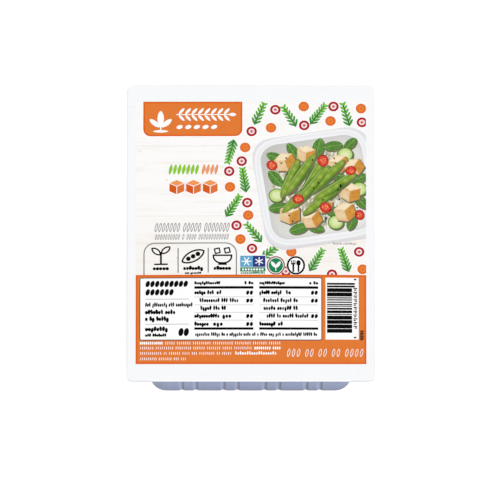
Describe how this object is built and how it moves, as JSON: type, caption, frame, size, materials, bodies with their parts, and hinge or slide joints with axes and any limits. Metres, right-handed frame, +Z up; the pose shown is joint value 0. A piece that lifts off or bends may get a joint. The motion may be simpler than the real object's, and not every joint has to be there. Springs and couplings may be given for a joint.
{
  "type": "sealed tofu pack",
  "caption": "Shut tub of tofu: a deep fluted plastic tray with a flat flange, sealed by a printed lidding film that domes slightly.",
  "frame": {"origin": "centre of the footprint, on the plane that the tray's foot stands on", "axes": "+Z up through the film, +Y along the pack's long side towards the top of the print, +X across it to the print's right"},
  "size_m": [0.115, 0.146, 0.046],
  "materials": {
    "tray_plastic": "milky blue-grey thermoformed plastic, satin",
    "lid_film": "white printed lidding film, soft gloss"
  },
  "bodies": {
    "root": {"tray": "tray_plastic", "lid_film": "lid_film"}
  },
  "joints": []
}
